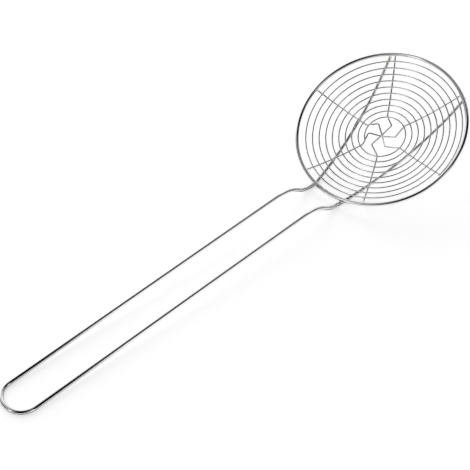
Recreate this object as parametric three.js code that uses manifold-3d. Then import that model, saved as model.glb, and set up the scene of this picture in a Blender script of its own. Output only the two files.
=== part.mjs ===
// Wire strainer spoon (spider skimmer): a shallow bowl of spiral wire on three spokes and a heavy rim,
// with a handle bent from one long wire that also runs under the bowl and carries it.
// Millimetres, +Z up. The spoon lies as it does on a table, z = 0, with the handle towards -X.
import * as THREE from "three";
import { mergeVertices } from "three/addons/utils/BufferGeometryUtils.js";
import Module from "manifold-3d";

const { degToRad, lerp } = THREE.MathUtils;

// Wire diameters
const rimWire = 3.5;
const handleWire = 3.5;
const spokeWire = 1.6;
const spiralWire = 1.4;
const weldGap = 0.3; // left between two wires that are welded where they cross

// Bowl, measured with its rim level
const headDiameter = 160; // outside of the rim
const bowlDepth = 14.2; // how far the spokes drop from the rim to the middle
const bowlFullness = 2.2; // 2 is a plain dish, more has a flatter bottom and steeper sides
const spokeCount = 3; // wires, each with an arm on both sides of the middle
const armLean = [-0.5, 0.5, 6, -3, -5, -0.5]; // degrees that the rim end of each hand-bent arm leans round
const kinkInside = 4.6; // from the first turn of the spiral in to the inner bend of a spoke
const kinkOutside = 3.2; // and out to the outer bend
const kinkTwist = 37; // degrees that the middle of a spoke is turned from its arms
const kinkLean = [0, -1, -2, -7, -4, 2.5]; // degrees that the outer bend of each arm leans round
const kinkShift = 2.5; // how far to the left of the bowl's axis the twisted middles cross
const kinkBend = 1.6; // bend radius of a kink
const spiralInnerRadius = 17.5;
const spiralTurns = 9; // whole turns, before the rest of one that ends on a side arm
const spiralHead = 2; // how far its inner end starts short of the line of a near arm
const spiralTail = 2.5; // how far its outer end runs past the side arm
const spiralRimClearance = 0.5; // between the last turn and the rim, in plan

// Handle, measured with the rim level
const legSpacing = 32.3; // between the legs where they pass under the rim
const loopSpacing = 32; // between the legs at the end loop
const supportClearance = 2.2; // between the end of a support and the spoke beside it
const neckRun = 12.7; // from under the rim out to the lower bend of the neck
const neckLift = 9.5; // and how far it climbs on the way
const neckBend = 20; // bend radius under the rim and at the lower bend
const stepRun = 11.6; // from the lower bend of the neck to the upper one
const stepRise = 21.3;
const stepBend = 44; // bend radius at the upper bend
const legLength = 324.5; // from the upper bend of the neck to the end of the loop
const legRise = 25.6; // degrees that the legs climb above the level of the rim
const restFlat = 0.2; // depth of the small flats worn where the wire touches the table

// How finely the wires are divided
const rimSteps = 96;
const spiralStepsPerTurn = 30;
const bendSteps = 6;
const spokeStep = 4;
const supportStep = 8;
const heavySides = 12;
const thinSides = 8;

// Sizes that follow from the others
const rimRadius = (headDiameter - rimWire) / 2;
const wallSlope = Math.atan((bowlDepth * bowlFullness) / rimRadius);
const spokeDrop = ((rimWire + spokeWire) / 2 + weldGap) / Math.cos(wallSlope); // spoke ends below the rim
const spiralLift = (spokeWire + spiralWire) / 2 + weldGap; // spiral above the spokes
const supportLift = -((spokeWire + handleWire) / 2 + weldGap); // supports below the spokes
const spiralOuterRadius = rimRadius - (rimWire + spiralWire) / 2 - spiralRimClearance;
const kinkInnerRadius = spiralInnerRadius - kinkInside;
const kinkOuterRadius = spiralInnerRadius + kinkOutside;
const spokeMiddle = new THREE.Vector3(0, kinkShift, 0); // where the spokes cross, in plan
const armAngle = Math.PI / spokeCount; // between neighbouring arms
const farArm = armAngle / 2; // the first arm, beside the line of the handle
const nearArm = Math.PI - farArm;
const sideArm = spokeCount + 1; // counted from the far arm
const sideArmAngle = farArm + armAngle * sideArm + degToRad(armLean[sideArm]);
const spiralStart = nearArm - spiralHead / spiralInnerRadius;
const spiralRest = 2 * Math.PI + spiralStart - sideArmAngle + spiralTail / spiralOuterRadius;
const spiralSweep = 2 * Math.PI * spiralTurns + spiralRest;

const steel = { metalness: 1, roughness: 0.16 };
const heavySteel = new THREE.MeshStandardMaterial({ color: 0xc9cacc, ...steel });
const thinSteel = new THREE.MeshStandardMaterial({ color: 0xbfc0c2, ...steel });

const wasm = await Module();
wasm.setup();

// A wire's centre line through points at its own spacing, with the tangent shared at each bend.
class WirePath extends THREE.Curve {
  constructor(points) {
    super();
    this.points = points;
  }

  getPoint(t) {
    const place = t * (this.points.length - 1);
    const index = Math.min(Math.floor(place + 1e-9), this.points.length - 2);
    return this.points[index].clone().lerp(this.points[index + 1], place - index);
  }

  getPointAt(u) {
    return this.getPoint(u);
  }

  getTangentAt(u) {
    const last = this.points.length - 1;
    const index = Math.round(u * last);
    const before = this.points[Math.max(index - 1, 0)];
    const here = this.points[index];
    const after = this.points[Math.min(index + 1, last)];
    const arriving = here.clone().sub(before).normalize();
    const leaving = after.clone().sub(here).normalize();
    return arriving.add(leaving).normalize();
  }
}

// Round wire of one diameter along a list of points.
function wire(points, diameter, sides) {
  const section = new THREE.Shape();
  for (let side = 0; side < sides; side++) {
    const angle = (2 * Math.PI * side) / sides;
    const x = (diameter / 2) * Math.cos(angle);
    const y = (diameter / 2) * Math.sin(angle);
    if (side === 0) section.moveTo(x, y);
    else section.lineTo(x, y);
  }
  return new THREE.ExtrudeGeometry(section, {
    steps: points.length - 1,
    extrudePath: new WirePath(points),
  });
}

// The points of a bent line: each inner corner becomes an arc of its radius.
function bent(corners, radii) {
  const points = [corners[0].clone()];
  for (let i = 1; i < corners.length - 1; i++) {
    const back = corners[i - 1].clone().sub(corners[i]).normalize();
    const ahead = corners[i + 1].clone().sub(corners[i]).normalize();
    const half = back.angleTo(ahead) / 2;
    const toCentre = back.clone().add(ahead).normalize();
    const centre = corners[i].clone().addScaledVector(toCentre, radii[i - 1] / Math.sin(half));
    const start = corners[i].clone().addScaledVector(back, radii[i - 1] / Math.tan(half)).sub(centre);
    const axis = new THREE.Vector3().crossVectors(ahead, back).normalize();
    for (let step = 0; step <= bendSteps; step++) {
      const turn = ((Math.PI - 2 * half) * step) / bendSteps;
      points.push(start.clone().applyAxisAngle(axis, turn).add(centre));
    }
  }
  points.push(corners.at(-1).clone());
  return points;
}

// The same line with its long straight stretches cut into steps.
function divided(points, longest) {
  const result = [points[0]];
  for (let i = 1; i < points.length; i++) {
    const pieces = Math.ceil(points[i].distanceTo(points[i - 1]) / longest);
    for (let piece = 1; piece <= pieces; piece++) {
      result.push(points[i - 1].clone().lerp(points[i], piece / pieces));
    }
  }
  return result;
}

// A point above the middle lines of the spokes by lift, at right angles to the bowl.
function onBowl(radius, angle, lift) {
  const share = radius / rimRadius;
  const slope = ((bowlDepth * bowlFullness) / rimRadius) * share ** (bowlFullness - 1);
  const slant = Math.hypot(1, slope);
  const height = -spokeDrop - bowlDepth * (1 - share ** bowlFullness);
  const across = radius - (lift * slope) / slant;
  return new THREE.Vector3(across * Math.cos(angle), across * Math.sin(angle), height + lift / slant);
}

function polar(radius, angle) {
  return new THREE.Vector3(radius * Math.cos(angle), radius * Math.sin(angle), 0);
}

// Heavy ring round the bowl.
function rimRing() {
  return new THREE.TorusGeometry(rimRadius, rimWire / 2, heavySides, rimSteps);
}

// The corners of one arm in plan, from the rim in to the twisted middle.
function armPlan(arm) {
  const angle = farArm + armAngle * arm;
  const lean = (leans) => degToRad(leans[arm % leans.length]);
  return [
    polar(rimRadius, angle + lean(armLean)),
    polar(kinkOuterRadius, angle + lean(kinkLean)),
    polar(kinkInnerRadius, angle - degToRad(kinkTwist)).add(spokeMiddle),
  ];
}

// One spoke: two arms and a twisted middle, which dips under the spokes above it at the crossing.
function spokeGeometry(index) {
  const corners = [...armPlan(index), ...armPlan(index + spokeCount).reverse()];
  const bends = corners.slice(1, -1).map(() => kinkBend);
  const plan = divided(bent(corners, bends), spokeStep);
  const dip = ((spokeCount - index) % spokeCount) * (spokeWire + weldGap);
  const line = plan.map((point) => {
    const share = Math.min(point.distanceTo(spokeMiddle) / kinkInnerRadius, 1);
    const lift = (-dip * (1 + Math.cos(Math.PI * share))) / 2;
    return onBowl(point.length(), Math.atan2(point.y, point.x), lift);
  });
  return wire(line, spokeWire, thinSides);
}

// The spiral, clockwise outwards as seen from above, from a near arm to a side arm.
function spiralLine() {
  const steps = Math.round((spiralSweep / (2 * Math.PI)) * spiralStepsPerTurn);
  return Array.from({ length: steps + 1 }, (_, step) => {
    const share = step / steps;
    const radius = lerp(spiralInnerRadius, spiralOuterRadius, share);
    return onBowl(radius, spiralStart - spiralSweep * share, spiralLift);
  });
}

// Least clear distance between two turns of the spiral, from point to point.
function leastTurnGap(line) {
  let least = Infinity;
  for (let i = 0; i < line.length; i++) {
    for (let j = i + Math.floor(spiralStepsPerTurn / 2); j < line.length; j++) {
      least = Math.min(least, line[i].distanceTo(line[j]) - spiralWire);
    }
  }
  return least;
}

// One side of the handle wire, from its end under the far rim to the middle of the end loop.
function handleSide() {
  const side = legSpacing / 2;
  const near = new THREE.Vector3(-Math.sqrt(rimRadius ** 2 - side ** 2), side, 0);
  const farSpacing = (spokeWire + handleWire) / 2 + supportClearance;
  const far = polar(rimRadius, farArm + farSpacing / rimRadius);

  const support = divided([far, near], supportStep).map((point) =>
    onBowl(point.length(), Math.atan2(point.y, point.x), supportLift),
  );

  const underRim = support.at(-1);
  const lowerBend = underRim.clone().add(new THREE.Vector3(-neckRun, 0, neckLift));
  const upperBend = lowerBend.clone().add(new THREE.Vector3(-stepRun, 0, stepRise));
  const alongLeg = new THREE.Vector3(-Math.cos(degToRad(legRise)), 0, Math.sin(degToRad(legRise)));
  const loopCorner = upperBend.clone().addScaledVector(alongLeg, legLength);
  loopCorner.y = loopSpacing / 2;
  const loopMiddle = loopCorner.clone().setY(0);
  const loopBend = loopSpacing / 2 - handleWire / 4;
  const corners = [...support.slice(-2), lowerBend, upperBend, loopCorner, loopMiddle];
  const bends = [neckBend, neckBend, stepBend, loopBend];
  return [...support.slice(0, -2), ...bent(corners, bends)];
}

function handleLine() {
  const side = handleSide();
  const mirrored = side.map((point) => point.clone().setY(-point.y)).reverse();
  return [...side, ...mirrored.slice(1)];
}

// The slope of the table against the rim: it touches the end of the loop and the lowest bend of the wire.
function tableTilt(line) {
  const end = line.reduce((lowest, point) => (point.x < lowest.x ? point : lowest));
  const others = line.filter((point) => point.x > end.x + loopSpacing);
  return Math.max(...others.map((point) => Math.atan2(end.z - point.z, point.x - end.x)));
}

// A closed geometry as a solid for cutting, and back.
function solidOf(geometry) {
  const bare = geometry.clone();
  bare.deleteAttribute("normal");
  bare.deleteAttribute("uv");
  const merged = mergeVertices(bare, 1e-3);
  return new wasm.Manifold(
    new wasm.Mesh({
      numProp: 3,
      vertProperties: merged.attributes.position.array,
      triVerts: new Uint32Array(merged.index.array),
    }),
  );
}

function geometryOf(solid) {
  const { vertProperties, triVerts } = solid.getMesh();
  const geometry = new THREE.BufferGeometry();
  geometry.setAttribute("position", new THREE.BufferAttribute(vertProperties, 3));
  geometry.setIndex(new THREE.BufferAttribute(triVerts, 1));
  geometry.computeVertexNormals();
  return geometry;
}

// The spoon's group turned and lifted so that the handle wire presses into the table by its flats.
const spoon = new THREE.Group();
const handlePoints = handleLine();
spoon.rotation.y = -tableTilt(handlePoints);
spoon.updateMatrix();
const lowest = Math.min(...handlePoints.map((point) => point.clone().applyMatrix4(spoon.matrix).z));
spoon.position.z = handleWire / 2 - restFlat - lowest;
spoon.updateMatrix();

// The handle wire, with what would lie below the table taken off as three small flats.
function handleWireGeometry() {
  const reach = 2 * (headDiameter + legLength);
  const table = new THREE.BoxGeometry(reach, reach, handleWire);
  table.translate(0, 0, -handleWire / 2);
  table.applyMatrix4(spoon.matrix.clone().invert());
  const whole = solidOf(wire(handlePoints, handleWire, heavySides));
  return geometryOf(whole.subtract(solidOf(table)));
}

function addPiece(name, geometry, material) {
  const piece = new THREE.Mesh(geometry, material);
  piece.name = name;
  spoon.add(piece);
}

addPiece("rim_ring", rimRing(), heavySteel);
addPiece("handle_wire", handleWireGeometry(), heavySteel);
for (let index = 0; index < spokeCount; index++) {
  addPiece(`spoke_wire_${"abcdefgh"[index]}`, spokeGeometry(index), thinSteel);
}
const spiralPoints = spiralLine();
addPiece("spiral_wire", wire(spiralPoints, spiralWire, thinSides), thinSteel);
console.log(`least gap between turns of the spiral: ${leastTurnGap(spiralPoints).toFixed(2)} mm`);

// The origin is under the middle of the whole spoon.
const strainerSpoon = new THREE.Group();
strainerSpoon.add(spoon);
const box = new THREE.Box3().setFromObject(strainerSpoon, true);
spoon.position.x -= (box.min.x + box.max.x) / 2;

export default strainerSpoon;
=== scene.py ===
import math
import bpy
import numpy as np
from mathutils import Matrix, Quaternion, Vector


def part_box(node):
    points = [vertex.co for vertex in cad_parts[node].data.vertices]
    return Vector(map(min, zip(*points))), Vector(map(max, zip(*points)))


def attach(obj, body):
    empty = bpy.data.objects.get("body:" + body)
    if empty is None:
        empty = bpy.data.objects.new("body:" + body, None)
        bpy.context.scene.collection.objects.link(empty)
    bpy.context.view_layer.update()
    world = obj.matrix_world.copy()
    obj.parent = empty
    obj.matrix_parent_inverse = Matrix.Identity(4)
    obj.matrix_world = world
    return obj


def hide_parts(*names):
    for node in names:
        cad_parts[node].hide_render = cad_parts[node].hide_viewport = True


# Looks of a wire strainer spoon: smooth drawn wires and their welds, on a white floor in a white studio.
# Sizes are in millimetres in the frame of the level rim, as the solids are made, and metres in the scene.
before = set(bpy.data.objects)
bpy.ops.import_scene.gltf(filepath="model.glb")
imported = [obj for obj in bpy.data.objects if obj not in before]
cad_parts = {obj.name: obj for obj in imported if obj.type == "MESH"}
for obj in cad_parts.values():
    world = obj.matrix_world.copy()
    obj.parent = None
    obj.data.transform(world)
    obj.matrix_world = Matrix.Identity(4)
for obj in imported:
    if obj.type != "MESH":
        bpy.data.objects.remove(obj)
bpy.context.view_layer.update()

MM = 0.001

# Wire diameters
RIM_WIRE = 3.5
HANDLE_WIRE = 3.5
SPOKE_WIRE = 1.6
SPIRAL_WIRE = 1.4
WELD_GAP = 0.3  # left between two wires that are welded where they cross

# Bowl, measured with its rim level
HEAD_DIAMETER = 160  # outside of the rim
BOWL_DEPTH = 14.2  # how far the spokes drop from the rim to the middle
BOWL_FULLNESS = 2.2  # 2 is a plain dish, more has a flatter bottom and steeper sides
SPOKE_COUNT = 3  # wires, each with an arm on both sides of the middle
ARM_LEAN = (-0.5, 0.5, 6, -3, -5, -0.5)  # degrees that the rim end of each hand-bent arm leans round
KINK_INSIDE = 4.6  # from the first turn of the spiral in to the inner bend of a spoke
KINK_OUTSIDE = 3.2  # and out to the outer bend
KINK_TWIST = 37  # degrees that the middle of a spoke is turned from its arms
KINK_LEAN = (0, -1, -2, -7, -4, 2.5)  # degrees that the outer bend of each arm leans round
KINK_SHIFT = 2.5  # how far to the left of the bowl's axis the twisted middles cross
KINK_BEND = 1.6  # bend radius of a kink
SPIRAL_INNER_RADIUS = 17.5
SPIRAL_TURNS = 9  # whole turns, before the rest of one that ends on a side arm
SPIRAL_HEAD = 2  # how far its inner end starts short of the line of a near arm
SPIRAL_TAIL = 2.5  # how far its outer end runs past the side arm
SPIRAL_RIM_CLEARANCE = 0.5  # between the last turn and the rim, in plan

# Handle, measured with the rim level
LEG_SPACING = 32.3  # between the legs where they pass under the rim
LOOP_SPACING = 32  # between the legs at the end loop
SUPPORT_CLEARANCE = 2.2  # between the end of a support and the spoke beside it
NECK_RUN = 12.7  # from under the rim out to the lower bend of the neck
NECK_LIFT = 9.5  # and how far it climbs on the way
NECK_BEND = 20  # bend radius under the rim and at the lower bend
STEP_RUN = 11.6  # from the lower bend of the neck to the upper one
STEP_RISE = 21.3
STEP_BEND = 44  # bend radius at the upper bend
LEG_LENGTH = 324.5  # from the upper bend of the neck to the end of the loop
LEG_RISE = 25.6  # degrees that the legs climb above the level of the rim

# Details that only the looks have
CUT_CHAMFER = 0.25  # on the cut end of a wire
RIM_JOINT_ANGLE = 180  # degrees round the rim to its butt weld
RIM_JOINT_SWELL = 0.22  # how far the butt weld stands out of the wire
RIM_JOINT_LENGTH = 0.9
WELD_WAIST = 0.72  # of the thinner wire's radius, at the middle of a spot weld
WELD_FLARE = 1.02  # and where it meets the wires
WELD_HEAT_REACH = 2.6  # how far the heat of a weld has dulled the steel

# How finely the wires are divided
RIM_STEPS = 288
SPIRAL_STEPS_PER_TURN = 72
BEND_STEPS = 18
SPOKE_STEP = 1.5
SUPPORT_STEP = 2.5
SUPPORT_BEND_STEPS = 3  # the last steps of a support, which its bend under the rim takes up
LEG_STEP = 6
HEAVY_SIDES = 28
THIN_SIDES = 16
WELD_SIDES = 14
WELD_RINGS = 7
WIRE_SEAM = (0.31, 0.17, 0.93)  # a direction that no wire starts in, from which its sides are counted
WELD_SEAM = (0.62, 0.41, 0.21)  # and one that no weld points in
PARALLEL = 1e-9  # square millimetres between two steps, below which they are taken for parallel

# Steel
LINE_CHANGES = 18  # of the drawing lines, in a metre of wire
LINE_DETAIL = 4
LINE_RANGE = (0.3, 0.7)  # of the lines' shades, from the smoothest to the roughest
LINE_RELIEF = 0.00002  # metres
CLOUD_SCALE = 55  # clouds of polish in a metre
CLOUD_DETAIL = 3
CLOUD_SHADE = 0.93  # of the steel's colour, in the darkest cloud
STRAW_TINT = (0.86, 0.8, 0.7, 1)  # of the steel at a weld
HEAT_ROUGHNESS = 0.16  # added at a weld

# Floor
FLOOR_SIDE = 6.0  # metres
FLOOR_DROP = 0.00005  # metres from the flats that the spoon rests on down to it
FLOOR_COLOUR = (0.95, 0.95, 0.95, 1)
FLOOR_ROUGHNESS = 0.9
FLOOR_GLOSS = 0.1
FLOOR_GLOW = 0.65  # added to the light on it, for the eye and in the wires, to bring it up to white
PAINTED_SHADE_REACH = 0.007  # metres round a wire in which the floor that the wires mirror gets painted contact shade
PAINTED_SHADE_DEPTH = 5  # how fast that painted shade on the mirrored floor turns black there
WHITE = (1, 1, 1, 1)

# Dark things round the white studio, which the bright wires show as dark lines: azimuth, elevation,
# half width and softness of the edge in degrees, how many times taller than wide, and how dark
DARK_CEILING = (-90, 90, 45, 10, 1.4, 0.99)
DARK_LAMP_GAP = (-55, 44, 16, 5, 0.55, 0.99)
DARK_NEAR_WALL = (-155, 5, 28, 8, 3.4, 0.99)
DARK_LEFT_WALL = (135, 14, 28, 2, 1, 0.99)
DARK_RIGHT_WALL = (-25, -10, 35, 4, 1.6, 0.99)
DARK_POST = (-75, 0, 7, 1.5, 10, 0.99)
DIM_CAMERA_SIDE = (-135, 14, 34, 18, 7, 0.88)
DARK_WALLS = (DARK_NEAR_WALL, DARK_LEFT_WALL, DARK_RIGHT_WALL)
DARK_THINGS = (DARK_CEILING, DARK_LAMP_GAP, *DARK_WALLS, DARK_POST, DIM_CAMERA_SIDE)
STUDIO_STRENGTH = 1.2

# The camera of the photograph, in degrees, and millimetres from the origin of the lying spoon
IMAGE_SIDE = 470  # pixels
FOCAL_PIXELS = 1220
CAMERA_TARGET = (12.8, 18.3, 0)
CAMERA_AZIMUTH = -137.65
CAMERA_ELEVATION = 43.74
CAMERA_DISTANCE = 1062
CAMERA_ROLL = 4.08
CAMERA_REACH = 20  # metres, past the far edge of the floor

# Sizes that follow from the others
RIM_RADIUS = (HEAD_DIAMETER - RIM_WIRE) / 2
RIM_ANGLES = np.linspace(0, 2 * math.pi, RIM_STEPS, endpoint=False)
WALL_SLOPE = math.atan(BOWL_DEPTH * BOWL_FULLNESS / RIM_RADIUS)
SPOKE_DROP = ((RIM_WIRE + SPOKE_WIRE) / 2 + WELD_GAP) / math.cos(WALL_SLOPE)  # spoke ends below the rim
SPIRAL_LIFT = (SPOKE_WIRE + SPIRAL_WIRE) / 2 + WELD_GAP  # spiral above the spokes
SUPPORT_LIFT = -((SPOKE_WIRE + HANDLE_WIRE) / 2 + WELD_GAP)  # supports below the spokes
SPIRAL_OUTER_RADIUS = RIM_RADIUS - (RIM_WIRE + SPIRAL_WIRE) / 2 - SPIRAL_RIM_CLEARANCE
KINK_INNER_RADIUS = SPIRAL_INNER_RADIUS - KINK_INSIDE
KINK_OUTER_RADIUS = SPIRAL_INNER_RADIUS + KINK_OUTSIDE
SPOKE_MIDDLE = np.array([0, KINK_SHIFT, 0])  # where the spokes cross, in plan
ARM_ANGLE = math.pi / SPOKE_COUNT  # between neighbouring arms
FAR_ARM = ARM_ANGLE / 2  # the first arm, beside the line of the handle
NEAR_ARM = math.pi - FAR_ARM
SIDE_ARM = SPOKE_COUNT + 1  # counted from the far arm
SIDE_ARM_ANGLE = FAR_ARM + ARM_ANGLE * SIDE_ARM + math.radians(ARM_LEAN[SIDE_ARM])
SPIRAL_START = NEAR_ARM - SPIRAL_HEAD / SPIRAL_INNER_RADIUS
SPIRAL_REST = 2 * math.pi + SPIRAL_START - SIDE_ARM_ANGLE + SPIRAL_TAIL / SPIRAL_OUTER_RADIUS
SPIRAL_SWEEP = 2 * math.pi * SPIRAL_TURNS + SPIRAL_REST
MIRRORED = np.array([1, -1, 1])  # from one side of the handle to the other


def unit(vector):
    """The vector with a length of one."""
    return vector / np.linalg.norm(vector)


def bent(corners, radii):
    """The points of a bent line: each inner corner becomes an arc of its radius."""
    points = [corners[0]]
    for before, corner, after, radius in zip(corners, corners[1:], corners[2:], radii):
        back = unit(before - corner)
        ahead = unit(after - corner)
        half = math.acos(np.clip(back @ ahead, -1, 1)) / 2
        centre = corner + unit(back + ahead) * radius / math.sin(half)
        start = corner + back * radius / math.tan(half) - centre
        side = unit(np.cross(np.cross(ahead, back), start)) * radius
        for turn in np.linspace(0, math.pi - 2 * half, BEND_STEPS + 1):
            points.append(centre + start * math.cos(turn) + side * math.sin(turn))
    points.append(corners[-1])
    return np.array(points)


def divided(points, longest):
    """The same line with its long straight stretches cut into steps."""
    result = [points[0]]
    for start, end in zip(points, points[1:]):
        pieces = max(1, math.ceil(np.linalg.norm(end - start) / longest))
        result += [start + (end - start) * piece / pieces for piece in range(1, pieces + 1)]
    return np.array(result)


def polar(radius, angle):
    """A point at the level of the rim, round the bowl's axis."""
    return np.array([radius * math.cos(angle), radius * math.sin(angle), 0.0])


def on_bowl(radius, angle, lift):
    """Points above the middle lines of the spokes by lift, at right angles to the bowl."""
    share = radius / RIM_RADIUS
    slope = BOWL_DEPTH * BOWL_FULLNESS / RIM_RADIUS * share ** (BOWL_FULLNESS - 1)
    slant = np.hypot(1, slope)
    height = -SPOKE_DROP - BOWL_DEPTH * (1 - share**BOWL_FULLNESS)
    across = radius - lift * slope / slant
    return np.stack([across * np.cos(angle), across * np.sin(angle), height + lift / slant], -1)


def lifted(plan, lift):
    """A line in plan laid on the bowl."""
    return on_bowl(np.hypot(plan[:, 0], plan[:, 1]), np.arctan2(plan[:, 1], plan[:, 0]), lift)


def rim_line():
    """The ring of the rim."""
    return np.stack([RIM_RADIUS * np.cos(RIM_ANGLES), RIM_RADIUS * np.sin(RIM_ANGLES), 0 * RIM_ANGLES], -1)


def arm_plan(arm):
    """The corners of one arm in plan, from the rim in to the twisted middle."""
    angle = FAR_ARM + ARM_ANGLE * arm
    place = arm % len(ARM_LEAN)
    return [
        polar(RIM_RADIUS, angle + math.radians(ARM_LEAN[place])),
        polar(KINK_OUTER_RADIUS, angle + math.radians(KINK_LEAN[place])),
        polar(KINK_INNER_RADIUS, angle - math.radians(KINK_TWIST)) + SPOKE_MIDDLE,
    ]


def spoke_line(index):
    """One spoke: two arms and a twisted middle, which dips under the spokes above it at the crossing."""
    corners = arm_plan(index) + arm_plan(index + SPOKE_COUNT)[::-1]
    plan = divided(bent(corners, [KINK_BEND] * (len(corners) - 2)), SPOKE_STEP)
    dip = (SPOKE_COUNT - index) % SPOKE_COUNT * (SPOKE_WIRE + WELD_GAP)
    share = np.minimum(np.linalg.norm(plan - SPOKE_MIDDLE, axis=1) / KINK_INNER_RADIUS, 1)
    return lifted(plan, -dip * (1 + np.cos(math.pi * share)) / 2)


def spiral_line():
    """The spiral, clockwise outwards as seen from above, from a near arm to a side arm."""
    share = np.linspace(0, 1, round(SPIRAL_SWEEP / (2 * math.pi) * SPIRAL_STEPS_PER_TURN) + 1)
    radius = SPIRAL_INNER_RADIUS + (SPIRAL_OUTER_RADIUS - SPIRAL_INNER_RADIUS) * share
    return on_bowl(radius, SPIRAL_START - SPIRAL_SWEEP * share, SPIRAL_LIFT)


def handle_side():
    """One side of the handle wire, from its end under the far rim to the middle of the end loop,
    and the point of it under the near rim."""
    side = LEG_SPACING / 2
    near = np.array([-math.sqrt(RIM_RADIUS**2 - side**2), side, 0])
    far_spacing = (SPOKE_WIRE + HANDLE_WIRE) / 2 + SUPPORT_CLEARANCE
    far = polar(RIM_RADIUS, FAR_ARM + far_spacing / RIM_RADIUS)
    support = lifted(divided([far, near], SUPPORT_STEP), SUPPORT_LIFT)

    under_rim = support[-1]
    lower_bend = under_rim + np.array([-NECK_RUN, 0, NECK_LIFT])
    upper_bend = lower_bend + np.array([-STEP_RUN, 0, STEP_RISE])
    rise = math.radians(LEG_RISE)
    loop_corner = upper_bend + LEG_LENGTH * np.array([-math.cos(rise), 0, math.sin(rise)])
    loop_corner[1] = LOOP_SPACING / 2
    loop_middle = loop_corner * np.array([1, 0, 1])
    loop_bend = LOOP_SPACING / 2 - HANDLE_WIRE / 4
    corners = [support[-SUPPORT_BEND_STEPS], under_rim, lower_bend, upper_bend, loop_corner, loop_middle]
    bends = [NECK_BEND, NECK_BEND, STEP_BEND, loop_bend]
    outside = divided(bent(corners, bends), LEG_STEP)
    return np.concatenate([support[:-SUPPORT_BEND_STEPS], outside]), under_rim


half_handle, under_rim_point = handle_side()
handle_points = np.concatenate([half_handle, (half_handle * MIRRORED)[-2::-1]])


def table_tilt(line):
    """The slope of the table against the rim: it touches the loop's end and the lowest bend of the wire."""
    end = line[np.argmin(line[:, 0])]
    others = line[line[:, 0] > end[0] + LOOP_SPACING]
    return np.max(np.arctan2(end[2] - others[:, 2], others[:, 0] - end[0]))


# From the frame of the level rim to the frame of the lying spoon, whose rim is round the solid's middle
tilt = table_tilt(handle_points)
turned = np.array(
    [[math.cos(tilt), 0, -math.sin(tilt)], [0, 1, 0], [math.sin(tilt), 0, math.cos(tilt)]]
)
rim_middle = np.array(sum(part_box("rim_ring"), Vector()) / 2)


def placed(points):
    """Points of the level rim's frame, in millimetres, in the scene."""
    return points @ turned.T * MM + rim_middle


def tube_frames(points, closed):
    """Two sides for each point of a line, which turn with it as little as they can."""
    if closed:
        tangents = np.roll(points, -1, 0) - np.roll(points, 1, 0)
    else:
        tangents = np.gradient(points, axis=0)
    tangents /= np.linalg.norm(tangents, axis=1)[:, None]
    side = unit(np.cross(tangents[0], WIRE_SEAM))
    sides = []
    for tangent in tangents:
        side = unit(side - tangent * (side @ tangent))
        sides.append(side)
    sides = np.array(sides)
    return sides, np.cross(tangents, sides)


def add_piece(name, vertices, faces, slot, flat_faces=0):
    """A mesh in the scene that rides on the spoon. The last flat_faces faces aren't smoothed."""
    mesh = bpy.data.meshes.new(name)
    mesh.from_pydata(vertices.tolist(), [], faces)
    smooth = np.arange(len(faces)) < len(faces) - flat_faces
    mesh.polygons.foreach_set("use_smooth", smooth)
    mesh.validate()
    mesh.update()
    mesh.materials.append(finishes[slot])
    piece = bpy.data.objects.new(name, mesh)
    bpy.context.scene.collection.objects.link(piece)
    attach(piece, "root")
    return piece


def wire_coordinates(piece, around, along):
    """Coordinates for the drawing lines: round the wire, and along it in metres."""
    values = np.column_stack([np.cos(around), np.sin(around), along])
    attribute = piece.data.attributes.new("wire", "FLOAT_VECTOR", "POINT")
    attribute.data.foreach_set("vector", values.astype(np.float32).ravel())


def tube_faces(first, rings, sides, closed=False):
    """The faces between the rings of a tube, whose points start at first."""
    faces = []
    for ring in range(rings if closed else rings - 1):
        here = first + ring * sides
        there = first + (ring + 1) % rings * sides
        for side in range(sides):
            beside = (side + 1) % sides
            faces.append((here + side, here + beside, there + beside, there + side))
    return faces


def tube_ends(first, rings, sides):
    """The two end faces of a tube."""
    last = first + (rings - 1) * sides
    return [tuple(range(first, first + sides))[::-1], tuple(range(last, last + sides))]


def add_wire(name, points, diameter, sides, slot, closed=False, swell=0.0):
    """Round wire along a line, with chamfered ends where it isn't closed. It is never below the table."""
    radii = diameter / 2 + swell * np.ones(len(points))
    if not closed:
        first = points[0] + unit(points[1] - points[0]) * CUT_CHAMFER
        last = points[-1] + unit(points[-2] - points[-1]) * CUT_CHAMFER
        points = np.concatenate([points[:1], [first], points[1:-1], [last], points[-1:]])
        radii = np.concatenate([radii[:1] - CUT_CHAMFER, radii, radii[-1:] - CUT_CHAMFER])
    rings = len(points)
    across, up = tube_frames(points, closed)
    around = np.arange(sides) * 2 * math.pi / sides
    circle = np.cos(around)[:, None] * across[:, None] + np.sin(around)[:, None] * up[:, None]
    vertices = placed((points[:, None] + radii[:, None, None] * circle).reshape(-1, 3))
    vertices[:, 2] = np.maximum(vertices[:, 2], 0)

    ends = [] if closed else tube_ends(0, rings, sides)
    faces = tube_faces(0, rings, sides, closed)
    piece = add_piece(name, vertices, faces + ends, slot, len(ends))
    steps = np.linalg.norm(np.diff(points, axis=0), axis=1)
    lengths = np.concatenate([[0], np.cumsum(steps)]) * MM
    wire_coordinates(piece, np.tile(around, rings), np.repeat(lengths, sides))
    return piece


def rim_swell():
    """The bead of the rim's butt weld, where the ends of the wire were pressed together."""
    distance = (RIM_ANGLES - math.radians(RIM_JOINT_ANGLE)) * RIM_RADIUS
    return RIM_JOINT_SWELL * np.exp(-((distance / RIM_JOINT_LENGTH) ** 2))


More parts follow.
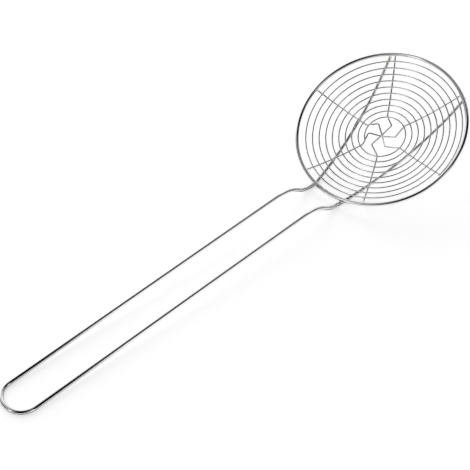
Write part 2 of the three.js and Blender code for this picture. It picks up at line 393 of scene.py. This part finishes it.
def crossings(upper, lower):
    """Where two lines cross in plan, as a point on each."""
    start, step = upper[:-1, None], np.diff(upper, axis=0)[:, None]
    other, reach = lower[None, :-1], np.diff(lower, axis=0)[None]
    offset = other - start
    across = step[..., 0] * reach[..., 1] - step[..., 1] * reach[..., 0]
    across = np.where(np.abs(across) < PARALLEL, PARALLEL, across)
    first = (offset[..., 0] * reach[..., 1] - offset[..., 1] * reach[..., 0]) / across
    second = (offset[..., 0] * step[..., 1] - offset[..., 1] * step[..., 0]) / across
    meets = (first >= 0) & (first < 1) & (second >= 0) & (second < 1)
    return [
        (upper[i] + step[i, 0] * first[i, j], lower[j] + reach[0, j] * second[i, j])
        for i, j in np.argwhere(meets)
    ]


def welds_between(one, other, one_wire, other_wire):
    """The spot welds of two wires: the crossings where they all but touch."""
    reach = (one_wire + other_wire) / 2 + 2 * WELD_GAP
    found = [pair for pair in crossings(one, other) if np.linalg.norm(pair[0] - pair[1]) < reach]
    return [(top, bottom, one_wire / 2, other_wire / 2) for top, bottom in found]


def rim_welds(points, diameter):
    """The spot welds of wires that end or pass under the rim at these points."""
    return [
        (polar(RIM_RADIUS, math.atan2(point[1], point[0])), point, RIM_WIRE / 2, diameter / 2)
        for point in points
    ]


def weld_rings(top, bottom, top_radius, bottom_radius, around):
    """The points of one spot weld: a waisted neck whose ends are sunk in the two wires."""
    axis = unit(top - bottom)
    across = unit(np.cross(axis, WELD_SEAM))
    up = np.cross(axis, across)
    thin = min(top_radius, bottom_radius)
    low = bottom + axis * (bottom_radius - thin / 2)
    high = top - axis * (top_radius - thin / 2)
    points = []
    for share in np.linspace(-1, 1, WELD_RINGS):
        middle = low + (high - low) * (share + 1) / 2
        radius = thin * (WELD_WAIST + (WELD_FLARE - WELD_WAIST) * share**2)
        points += [middle + radius * (across * math.cos(angle) + up * math.sin(angle)) for angle in around]
    return points


def add_welds(name, welds, slot):
    """Spot welds as one piece."""
    vertices = []
    faces = []
    around = np.arange(WELD_SIDES) * 2 * math.pi / WELD_SIDES
    for weld in welds:
        first = len(vertices)
        vertices += weld_rings(*weld, around)
        faces += tube_faces(first, WELD_RINGS, WELD_SIDES)
        faces += tube_ends(first, WELD_RINGS, WELD_SIDES)
    piece = add_piece(name, placed(np.array(vertices)), faces, slot)
    wire_coordinates(piece, np.tile(around, len(vertices) // WELD_SIDES), np.zeros(len(vertices)))
    return piece


def mark_heat(piece, spots):
    """How near each point of a wire is to a weld, from 0 to 1."""
    points = np.array([vertex.co for vertex in piece.data.vertices])
    heat = np.zeros(len(points))
    for spot in spots:
        distance = np.linalg.norm(points - spot, axis=1) / MM
        heat = np.maximum(heat, np.exp(-((distance / WELD_HEAT_REACH) ** 2)))
    attribute = piece.data.attributes.new("heat", "FLOAT", "POINT")
    attribute.data.foreach_set("value", heat.astype(np.float32))


def calculated(tree, operation, *sources):
    """The output of a node that joins numbers, each of them a plain one or the output of a node."""
    node = tree.nodes.new("ShaderNodeMath")
    node.operation = operation
    for source, socket in zip(sources, node.inputs):
        if isinstance(source, bpy.types.NodeSocket):
            tree.links.new(source, socket)
        else:
            socket.default_value = source
    return node.outputs["Value"]


def mesh_value(tree, name):
    """A node that gives what the points of a piece hold under this name."""
    node = tree.nodes.new("ShaderNodeAttribute")
    node.attribute_name = name
    return node


def noise(tree, place, scale, detail):
    """Cloudy shades from 0 to 1 at the places that a node gives."""
    node = tree.nodes.new("ShaderNodeTexNoise")
    node.inputs["Scale"].default_value = scale
    node.inputs["Detail"].default_value = detail
    tree.links.new(place, node.inputs["Vector"])
    return node.outputs["Fac"]


def drawing_lines(tree, scale):
    """Fine lines along the wire, as shades from 0 to 1."""
    stretch = tree.nodes.new("ShaderNodeMapping")
    stretch.inputs["Scale"].default_value = (scale, scale, LINE_CHANGES)
    tree.links.new(mesh_value(tree, "wire").outputs["Vector"], stretch.inputs["Vector"])
    return noise(tree, stretch.outputs["Vector"], 1, LINE_DETAIL)


def steel_colour(tree, colour, heat):
    """The colour of the steel in clouds of polish, with a straw tint where a weld heated it."""
    place = tree.nodes.new("ShaderNodeTexCoord")
    shades = tree.nodes.new("ShaderNodeValToRGB")
    shades.color_ramp.elements[0].color = (*(CLOUD_SHADE * value for value in colour), 1)
    shades.color_ramp.elements[1].color = (*colour, 1)
    clouds = noise(tree, place.outputs["Object"], CLOUD_SCALE, CLOUD_DETAIL)
    tree.links.new(clouds, shades.inputs["Fac"])
    tint = tree.nodes.new("ShaderNodeMix")
    tint.data_type = "RGBA"
    tint.blend_type = "MULTIPLY"
    tint.inputs["B"].default_value = STRAW_TINT
    tree.links.new(heat, tint.inputs["Factor"])
    tree.links.new(shades.outputs["Color"], tint.inputs["A"])
    return tint.outputs["Result"]


def steel_roughness(tree, roughness, lines, heat):
    """From the smoothest to the roughest drawing line, and duller where a weld heated the steel."""
    polish = tree.nodes.new("ShaderNodeMapRange")
    polish.inputs["From Min"].default_value, polish.inputs["From Max"].default_value = LINE_RANGE
    polish.inputs["To Min"].default_value, polish.inputs["To Max"].default_value = roughness
    tree.links.new(lines, polish.inputs["Value"])
    return calculated(tree, "MULTIPLY_ADD", heat, HEAT_ROUGHNESS, polish.outputs["Result"])


def steel(name, colour, roughness, line_scale, line_depth):
    """Bright drawn steel: fine lines along the wire, cloudy polish, and dull straw tints at the welds."""
    material = bpy.data.materials.new(name)
    material.use_nodes = True
    tree = material.node_tree
    shader = tree.nodes["Principled BSDF"]
    shader.inputs["Metallic"].default_value = 1
    heat = mesh_value(tree, "heat").outputs["Fac"]
    lines = drawing_lines(tree, line_scale)
    tree.links.new(steel_colour(tree, colour, heat), shader.inputs["Base Color"])
    tree.links.new(steel_roughness(tree, roughness, lines, heat), shader.inputs["Roughness"])
    bump = tree.nodes.new("ShaderNodeBump")
    bump.inputs["Strength"].default_value = line_depth
    bump.inputs["Distance"].default_value = LINE_RELIEF
    tree.links.new(lines, bump.inputs["Height"])
    tree.links.new(bump.outputs["Normal"], shader.inputs["Normal"])
    return material


def white_paper_and_painted_shade():
    """White for the floor. It is lit up to white for the eye and in the bright wires, but where the wires
    nearly touch it they show it with painted contact shade, mixed to black."""
    material = bpy.data.materials.new("white_paper_and_painted_shade")
    material.use_nodes = True
    tree = material.node_tree
    shader = tree.nodes["Principled BSDF"]
    shader.inputs["Base Color"].default_value = FLOOR_COLOUR
    shader.inputs["Roughness"].default_value = FLOOR_ROUGHNESS
    shader.inputs["Specular IOR Level"].default_value = FLOOR_GLOSS
    shader.inputs["Emission Color"].default_value = WHITE
    path = tree.nodes.new("ShaderNodeLightPath")
    mirrored = path.outputs["Is Glossy Ray"]
    seen = calculated(tree, "MAXIMUM", path.outputs["Is Camera Ray"], mirrored)
    tree.links.new(calculated(tree, "MULTIPLY", seen, FLOOR_GLOW), shader.inputs["Emission Strength"])

    # Painted contact shade: for rays that the wires mirror, the floor is mixed towards black where ambient
    # occlusion finds a wire close by
    clear = tree.nodes.new("ShaderNodeAmbientOcclusion")
    clear.inputs["Distance"].default_value = PAINTED_SHADE_REACH
    light = calculated(tree, "POWER", clear.outputs["AO"], PAINTED_SHADE_DEPTH)
    shade = calculated(tree, "SUBTRACT", 1, light)
    black = tree.nodes.new("ShaderNodeEmission")
    black.inputs["Strength"].default_value = 0
    surface = tree.nodes.new("ShaderNodeMixShader")
    tree.links.new(calculated(tree, "MULTIPLY", mirrored, shade), surface.inputs["Fac"])
    tree.links.new(shader.outputs["BSDF"], surface.inputs[1])
    tree.links.new(black.outputs["Emission"], surface.inputs[2])
    tree.links.new(surface.outputs["Shader"], tree.nodes["Material Output"].inputs["Surface"])
    return material


def add_floor():
    """A plain white floor, which keeps the shadow of the spoon."""
    mesh = bpy.data.meshes.new("floor")
    half = FLOOR_SIDE / 2
    corners = [(-half, -half), (half, -half), (half, half), (-half, half)]
    mesh.from_pydata([(x, y, -FLOOR_DROP) for x, y in corners], [], [(0, 1, 2, 3)])
    mesh.materials.append(white_paper_and_painted_shade())
    floor = bpy.data.objects.new("floor", mesh)
    bpy.context.scene.collection.objects.link(floor)


def direction(azimuth, elevation):
    """The unit vector towards a place round the spoon, in degrees from +X and above the floor."""
    turn = math.radians(azimuth)
    rise = math.radians(elevation)
    return Vector((math.cos(turn) * math.cos(rise), math.sin(turn) * math.cos(rise), math.sin(rise)))


def light_round(tree, ray, thing):
    """The light that is left round one dark thing, for a node that gives the direction of a ray."""
    azimuth, elevation, half_width, softness, tallness, darkness = thing
    flattened = Vector((1, 1, 1 / tallness))
    squeeze = tree.nodes.new("ShaderNodeVectorMath")
    squeeze.operation = "MULTIPLY"
    squeeze.inputs[1].default_value = flattened
    tree.links.new(ray.outputs["Generated"], squeeze.inputs[0])
    even = tree.nodes.new("ShaderNodeVectorMath")
    even.operation = "NORMALIZE"
    tree.links.new(squeeze.outputs["Vector"], even.inputs[0])
    towards = tree.nodes.new("ShaderNodeVectorMath")
    towards.operation = "DOT_PRODUCT"
    towards.inputs[1].default_value = (direction(azimuth, elevation) * flattened).normalized()
    tree.links.new(even.outputs["Vector"], towards.inputs[0])
    edge = tree.nodes.new("ShaderNodeMapRange")
    edge.interpolation_type = "SMOOTHSTEP"
    edge.inputs["From Min"].default_value = math.cos(math.radians(half_width + softness))
    edge.inputs["From Max"].default_value = math.cos(math.radians(half_width - softness))
    edge.inputs["To Min"].default_value = 1
    edge.inputs["To Max"].default_value = 1 - darkness
    tree.links.new(towards.outputs["Value"], edge.inputs["Value"])
    return edge.outputs["Result"]


def add_studio():
    """A white studio all round, with dark things in it, and plain white where the camera sees past
    the floor."""
    world = bpy.data.worlds.new("studio")
    bpy.context.scene.world = world
    world.use_nodes = True
    tree = world.node_tree
    ray = tree.nodes.new("ShaderNodeTexCoord")
    light = STUDIO_STRENGTH
    for thing in DARK_THINGS:
        light = calculated(tree, "MULTIPLY", light, light_round(tree, ray, thing))
    path = tree.nodes.new("ShaderNodeLightPath")
    seen = tree.nodes.new("ShaderNodeMix")
    seen.inputs["B"].default_value = 1
    tree.links.new(path.outputs["Is Camera Ray"], seen.inputs["Factor"])
    tree.links.new(light, seen.inputs["A"])
    background = tree.nodes["Background"]
    background.inputs["Strength"].default_value = 1
    tree.links.new(seen.outputs["Result"], background.inputs["Color"])


def add_camera():
    """The camera at the place of the photograph's."""
    data = bpy.data.cameras.new("camera")
    data.lens = data.sensor_width * FOCAL_PIXELS / IMAGE_SIDE
    data.clip_end = CAMERA_REACH
    viewer = bpy.data.objects.new("camera", data)
    bpy.context.scene.collection.objects.link(viewer)
    back = direction(CAMERA_AZIMUTH, CAMERA_ELEVATION)
    viewer.location = (Vector(CAMERA_TARGET) + back * CAMERA_DISTANCE) * MM
    viewer.rotation_mode = "QUATERNION"
    roll = Quaternion((0, 0, 1), math.radians(CAMERA_ROLL))
    viewer.rotation_quaternion = (-back).to_track_quat("-Z", "Y") @ roll
    bpy.context.scene.camera = viewer


add_camera()
add_studio()
add_floor()

finishes = {
    "heavy_wire": steel(
        "bright_heavy_steel", (0.8, 0.8, 0.795), roughness=(0.015, 0.04), line_scale=7, line_depth=0.12
    ),
    "thin_wire": steel(
        "bright_thin_steel", (0.74, 0.74, 0.735), roughness=(0.02, 0.05), line_scale=5, line_depth=0.15
    ),
}

spoke_points = [spoke_line(index) for index in range(SPOKE_COUNT)]
spiral_points = spiral_line()

rim = add_wire("rim", rim_line(), RIM_WIRE, HEAVY_SIDES, "heavy_wire", True, rim_swell())
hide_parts("rim_ring")
handle = add_wire("handle", handle_points, HANDLE_WIRE, HEAVY_SIDES, "heavy_wire")
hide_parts("handle_wire")
spokes = []
for letter, line in zip("abc", spoke_points):
    spoke = add_wire(f"spoke_{letter}", line, SPOKE_WIRE, THIN_SIDES, "thin_wire")
    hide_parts(f"spoke_wire_{letter}")
    spokes.append(spoke)
spiral = add_wire("spiral", spiral_points, SPIRAL_WIRE, THIN_SIDES, "thin_wire")
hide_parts("spiral_wire")

spiral_spots = []
support_spots = []
middle_spots = []
for index, line in enumerate(spoke_points):
    spiral_spots += welds_between(spiral_points, line, SPIRAL_WIRE, SPOKE_WIRE)
    support_spots += welds_between(line, handle_points, SPOKE_WIRE, HANDLE_WIRE)
    middle_spots += welds_between(spoke_points[index - 1], line, SPOKE_WIRE, SPOKE_WIRE)
spoke_ends = [end for line in spoke_points for end in (line[0], line[-1])]
handle_spots = [handle_points[0], handle_points[-1], under_rim_point, under_rim_point * MIRRORED]
rim_spots = rim_welds(spoke_ends, SPOKE_WIRE) + rim_welds(handle_spots, HANDLE_WIRE)

weld_pieces = [
    add_welds("spiral_welds", spiral_spots, "thin_wire"),
    add_welds("support_welds", support_spots, "heavy_wire"),
    add_welds("middle_welds", middle_spots, "thin_wire"),
    add_welds("rim_welds", rim_spots, "heavy_wire"),
]
weld_middles = [
    placed((top + bottom) / 2)
    for top, bottom, _, _ in spiral_spots + support_spots + middle_spots + rim_spots
]
weld_middles.append(placed(polar(RIM_RADIUS, math.radians(RIM_JOINT_ANGLE))))
for piece in [rim, handle, spiral, *spokes, *weld_pieces]:
    mark_heat(piece, weld_middles)

bpy.context.scene.view_settings.view_transform = "Standard"
